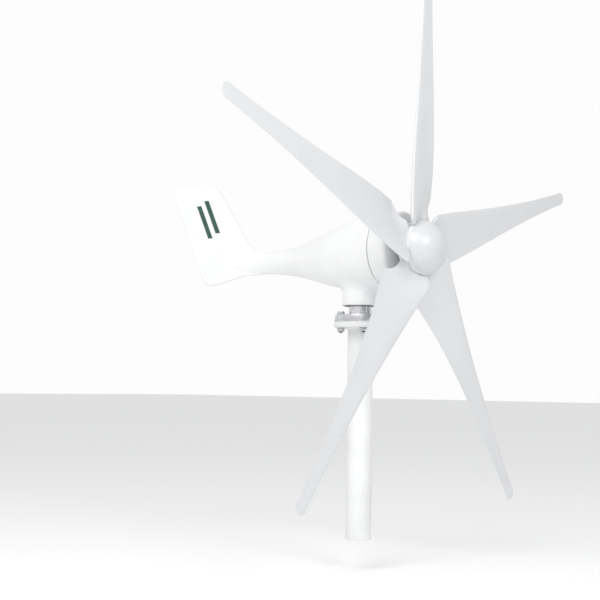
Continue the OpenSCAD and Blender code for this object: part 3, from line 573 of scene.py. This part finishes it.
nacelle_white = surface("nacelle gloss coat", (0.905, 0.907, 0.91), 0.22, tint=0.025, patch=11,
                        grain=650, depth=0.035, rough_change=0.05, coat=0.35, edge=0.35, fleck=0.05)
finished(casting, nacelle_white, 40)
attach(casting, "nacelle")
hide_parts("nacelle_shell")

# ---------------------------------------------------------------- fin mark
# A plain two-bar mark in dark green vinyl film on each side of the fin. The film is thin, a
# little glossier than the paint, and lies flat on it.
decal_film = surface("green vinyl film", (0.018, 0.085, 0.06), 0.28, tint=0.18, patch=45, grain=1600,
                     depth=0.02, rough_change=0.07, coat=0.2)

# ---------------------------------------------------------------- front housing
# The generator's front cover is a separate aluminium casting with a machined spigot that
# centres it in the rear one. A fine groove marks the joint, filled with a near-black ring that
# paints the shade in the seam. The rounded front edge carries four counterbored holes for the
# long socket screws.
SCREW_CIRCLE = 66.95

cover = turned("generator_cover", [
    (63.1, 62), (70.8, 62), (70.8, 68.05), (73.6, 68.05), (74.0, 68.4), (74.0, 69.2), (75.4, 69.25),
    (75.9, 69.6), (76, 70.2), (75.9, 80), (75.6, 93), (75.1, 97.5), (74.4, 101), (73.3, 103.4),
    (71.5, 105.2), (69.4, 106.4), (67, 107), (45, 107), (17.6, 107), (17, 106.4), (17, 102),
    (23.5, 102), (23.5, 88), (28.5, 88), (31.5, 101), (63.1, 101)], 160)
screw_places = [(SCREW_CIRCLE * math.cos(math.radians(45 + 90 * k)),
                 SCREW_CIRCLE * math.sin(math.radians(45 + 90 * k))) for k in range(4)]
cut(cover, *[drill(4, (x, y, 102), 10) for x, y in screw_places])
cut(cover, *[drill(2.2, (x, y, 55), 60) for x, y in screw_places])
cover.data.transform(forward)
softened(cover, 0.3, 2, 50)
finished(cover, nacelle_white, 40)
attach(cover, "nacelle")
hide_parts("front_housing")

# Painted shade: a near-black ring fills the joint groove so that the seam reads as a dark line.
seam_shade_ring = turned("joint_seam_shade", [(73.4, 68.1), (74.5, 68.1), (74.9, 68.4), (74.9, 68.8),
                                 (74.5, 69.1), (73.4, 69.1)], 160)
seam_shade_ring.data.transform(forward)
seam_shade_black = surface("seam shade black", (0.02, 0.02, 0.022), 0.6, tint=0.3, patch=60, grain=1200,
                        depth=0.03, rough_change=0.1)
finished(seam_shade_ring, seam_shade_black, 50)
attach(seam_shade_ring, "nacelle")


# ---------------------------------------------------------------- blades
# Five moulded blades in glass filled nylon, satin and cool white. Each has a flat pad between
# the hub's plates; from there the leading edge runs out straight over the next blade's root
# while the trailing side is cut back, and the section twists and thins to a rounded tip.
ROTOR_Y = -142
TIP_R = 600
TIP_ROUND = 14
TWIST_FROM = 37
WHOLE_FROM = 98
SECTION = 30


def limited(x):
    return min(max(x, 0.0), 1.0)


def smooth_step(x):
    x = limited(x)
    return x * x * (3 - 2 * x)


def blade_point(r, u, face):
    """A point of the section at a radius, in millimetres: across, out along the blade, forward."""
    out = max(0.0, (TIP_R - r) / 540)
    chord = 27 + 91 * out**1.75
    b = math.radians(1.5 + 19.2 * out**4.4)
    thick = 2 + 4.6 * out**1.6
    tip = limited((TIP_R - r) / TIP_ROUND)
    tip = math.sqrt(1 - (1 - tip) ** 2)
    kept = 1 - smooth_step((r - 45) / 53)
    rear = 0.77 - 0.006 * max(0.0, 52 - r) + 0.23 * limited((r - 60) / 38) ** 3
    front = 0.2 * limited((54 - r) / 18) ** 2
    chord = chord * (0.25 + 0.75 * tip) - (1 - tip) * 27 * 0.2
    x = front + (rear - front) * (1 - math.cos(math.pi * u)) / 2
    foil = 2.969 * math.sqrt(x) - 1.26 * x - 3.516 * x**2 + 2.843 * x**3 - 0.95 * x**4
    plate = 0.82 * math.sqrt(max(0.0, 1 - abs(math.cos(math.pi * u)) ** 5))
    half = (foil * (1 - kept) + plate * kept) * thick
    across = (x - 0.5) * chord
    off = -0.12 * x * (1 - x) * chord + face * half * (0.35 + 0.65 * tip)
    lever = (x - 0.25) * chord
    flat = (1 - limited((r - 60) / 38)) * smooth_step((x - 0.42) / 0.26)
    mid = (3.6 - lever * math.sin(b)) * (1 - flat) - 3 * flat
    return (2 + across * math.cos(b) + off * math.sin(b), r, mid + off * math.cos(b))


straight = TIP_R - TIP_ROUND - WHOLE_FROM
radii = [TWIST_FROM + (WHOLE_FROM - TWIST_FROM) * k / 26 for k in range(27)]
radii += [WHOLE_FROM + straight * (k / 70) for k in range(1, 71)]
radii += [TIP_R - TIP_ROUND * (1 - math.sin(math.radians(5 * k + 5))) for k in range(17)]
rings = [[blade_point(r, i / SECTION, 1) for i in range(SECTION + 1)]
         + [blade_point(r, i / SECTION, -1) for i in range(SECTION - 1, 0, -1)] for r in radii]
blade = lofted("blade_master", rings)
pad = turned("blade_pad", [(17, -9), (52, -9), (52, 3), (17, 3)], 120)
half_pitch = math.radians(36)
wedge = [(s * (r * math.tan(half_pitch) - 1.5), r) for s, r in ((-1, 15), (-1, 70), (1, 70), (1, 15))]
cut(pad, lofted("wedge", [[(x, y, z) for x, y in wedge] for z in (-12, 6)]), operation="INTERSECT")
cut(blade, pad, operation="UNION")


def block(low, high, turn):
    """A square cutter between two corners, in millimetres, turned about the hub."""
    bpy.ops.object.select_all(action="DESELECT")
    centre = [(a + b) / 2 * MM for a, b in zip(low, high)]
    bpy.ops.mesh.primitive_cube_add(size=1, location=centre,
                                    scale=[(b - a) * MM for a, b in zip(low, high)])
    tool = bpy.context.object
    bpy.ops.object.transform_apply(location=True, rotation=True, scale=True)
    tool.data.transform(Matrix.Rotation(math.radians(turn), 4, "Z"))
    return tool


cut(blade, drill(53.6, (0, 0, 3), 80, 128), drill(52.6, (0, 0, -69), 60, 128),
    block((-80, 0, -60), (0.5, 120, 4), 36), block((-0.5, 0, -60), (79.5, 58, 60), -36),
    drill(2.25, (43 * math.sin(math.radians(31)), 43 * math.cos(math.radians(31)), -30), 60, 24),
    *[drill(3.15, (r * math.sin(math.radians(a)), r * math.cos(math.radians(a)), -30), 60, 24)
      for r, a in ((41, 13), (41, -13), (25, 0))])
blade_white = surface("satin nylon", (0.745, 0.752, 0.765), 0.40, tint=0.022, patch=9, grain=1100,
                      depth=0.022, rough_change=0.05, edge=0.4, fleck=0.05)
finished(blade, blade_white, 38)
for k in range(5):
    lean = math.radians(1.2 + 72 * k)
    across, outward = (Vector((math.cos(lean), 0, -math.sin(lean))),
                       Vector((math.sin(lean), 0, math.cos(lean))))
    spot = Matrix((
        (across.x, outward.x, 0, 0),
        (across.y, outward.y, -1, ROTOR_Y * MM),
        (across.z, outward.z, 0, AXIS_Z * MM),
        (0, 0, 0, 1),
    ))
    twin = copied(blade, f"moulded_blade_{k + 1}", spot)
    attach(twin, "rotor")
    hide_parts(f"blade_{k + 1}")
bpy.data.objects.remove(blade)

# ---------------------------------------------------------------- nose cone
# A moulded cap, part of a sphere with a 2.5 mm wall, that covers the blade bolts and the shaft
# nut. It is gloss white, with a small round at its rim, and is held by five long screws from
# behind the hub plate.
NOSE_R = 53
NOSE_BACK = 8.2
NOSE_HEIGHT = 41
NOSE_WALL = 2.5
nose_ball = 54.756
nose_centre = NOSE_BACK + NOSE_HEIGHT - nose_ball
nose_outline = [(NOSE_R - 0.9, NOSE_BACK), (NOSE_R - 0.35, 8.45), (NOSE_R - 0.1, 8.9)]
for k in range(1, 33):
    a = math.radians(14.6 + 75.2 * k / 32)
    nose_outline.append((nose_ball * math.cos(a), nose_centre + nose_ball * math.sin(a)))
nose_outline.append((ON_AXIS, nose_centre + nose_ball))
nose_inner = nose_ball - NOSE_WALL
nose_outline.append((ON_AXIS, nose_centre + nose_inner))
for k in range(16, -1, -1):
    a = math.radians(15.3 + 74 * k / 16)
    nose_outline.append((nose_inner * math.cos(a), nose_centre + nose_inner * math.sin(a)))
nose_outline.append((50.4, NOSE_BACK))
nose = turned("nose_cap", nose_outline, 144)
nose.data.transform(Matrix.Translation((0, ROTOR_Y * MM, 0)) @ forward)
nose_white = surface("nose gloss white", (0.675, 0.68, 0.69), 0.36, tint=0.02, patch=20, grain=900,
                     depth=0.012, rough_change=0.05, coat=0.35, coat_rough=0.26, edge=0.3, fleck=0.04)
finished(nose, nose_white, 40)
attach(nose, "rotor")
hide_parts("nose_cone")

# ---------------------------------------------------------------- hub plates and inner parts
# The hub plates are aluminium, coated white with the housing. The shaft and bearings are ground
# steel, and the generator has a laminated core, enamelled copper coils and plated magnets. They
# keep their modelled shapes and take these finishes.
hub_lines = ("Y", 380, (0, 0, -AXIS_Z * MM))
machined = surface("blasted aluminium", (0.84, 0.845, 0.855), 0.50, metal=0.35, tint=0.05, patch=25,
                   grain=1400, depth=0.015, rough_change=0.07, lines=hub_lines)
ground = surface("ground steel", (0.66, 0.67, 0.68), 0.18, metal=1.0, tint=0.07, patch=40, grain=2400,
                 depth=0.006, rough_change=0.05)
shaft_steel = surface("turned shaft steel", (0.60, 0.61, 0.63), 0.22, metal=1.0, tint=0.08, patch=30,
                      grain=1800, depth=0.010, rough_change=0.06, lines=hub_lines)
brass = surface("turned brass", (0.80, 0.60, 0.26), 0.26, metal=1.0, tint=0.1, patch=50, grain=1500,
                depth=0.01, lines=("Z", 500, (0, 0, 0)))
black_plastic = surface("black moulding", (0.018, 0.018, 0.02), 0.45, tint=0.25, patch=40, grain=1300,
                        depth=0.03, rough_change=0.1)
rubber = surface("black rubber", (0.014, 0.014, 0.015), 0.62, tint=0.3, patch=70, grain=1000, depth=0.04,
                 rough_change=0.1, fleck=0.2)
carbon = surface("pressed carbon", (0.03, 0.03, 0.032), 0.5, tint=0.3, patch=90, grain=2600, depth=0.02)
laminated = surface("stamped laminations", (0.32, 0.33, 0.35), 0.4, metal=1.0, tint=0.15, patch=50,
                    grain=1600, depth=0.03, rough_change=0.1, lines=("Y", 900, (0, 0, 0)))
copper = surface("enamelled copper", (0.50, 0.20, 0.08), 0.3, metal=0.7, tint=0.2, patch=120, grain=1400,
                 depth=0.05, coat=0.4, lines=("Y", 520, (0, 0, 0)))
magnet = surface("nickel plate", (0.70, 0.68, 0.63), 0.22, metal=1.0, tint=0.08, patch=60, grain=2400,
                 depth=0.01)
lead_cover = surface("red insulation", (0.42, 0.03, 0.025), 0.42, tint=0.12, patch=80, grain=1300,
                     depth=0.02)
kept = {
    decal_film: ["fin_decals"],
    zinc: ["yaw_lock_nut", "through_bolts", "holder_screw", "blade_bolts", "blade_nuts", "hub_nut",
           "hub_washer", "nose_screws", "brush_springs"],
    ground: ["yaw_lower_inner_race", "yaw_lower_outer_race", "yaw_lower_balls", "yaw_upper_inner_race",
             "yaw_upper_outer_race", "yaw_upper_balls", "front_outer_race", "front_inner_race",
             "front_balls", "rear_outer_race", "rear_inner_race", "rear_balls"],
    shaft_steel: ["main_shaft", "shaft_key"],
    nacelle_white: ["hub_plate", "clamp_plate"],
    machined: ["end_plate"],
    brass: ["slip_rings"],
    black_plastic: ["slip_ring_core", "brush_holder"],
    rubber: ["neck_seal", "shaft_seal"],
    carbon: ["brushes"],
    laminated: ["stator_core", "rotor_core"],
    copper: ["stator_coils"],
    magnet: ["magnets"],
    lead_cover: ["phase_leads"],
}
for finish, nodes in kept.items():
    for node in nodes:
        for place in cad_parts[node].material_slots:
            place.material = finish
